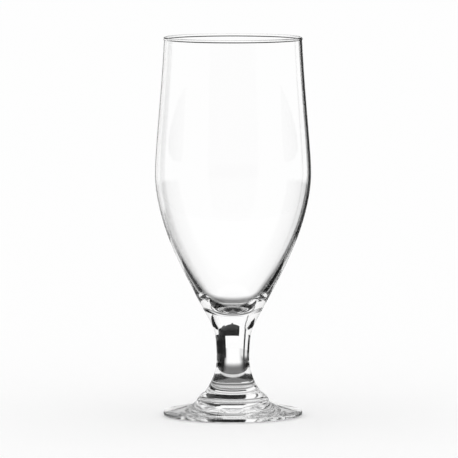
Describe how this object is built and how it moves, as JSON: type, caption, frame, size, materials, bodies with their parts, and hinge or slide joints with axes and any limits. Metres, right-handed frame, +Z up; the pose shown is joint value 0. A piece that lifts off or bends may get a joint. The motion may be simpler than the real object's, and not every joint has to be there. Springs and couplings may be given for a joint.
{
  "type": "stemmed beer glass",
  "caption": "Clear stemmed beer glass: a tulip bowl with a full belly and a beaded rim, on a short drawn stem and a round hubbed foot.",
  "frame": {"origin": "centre of the foot, on the plane that the glass rests on", "axes": "+Z up along the axis of the glass, from the foot to the rim; the glass is round, so +X and +Y are alike"},
  "size_m": [0.0754, 0.0754, 0.183],
  "materials": {
    "clear_glass": "fire-polished clear soda-lime glass"
  },
  "bodies": {
    "root": {"bowl": "clear_glass", "stem": "clear_glass", "foot": "clear_glass"}
  },
  "joints": []
}
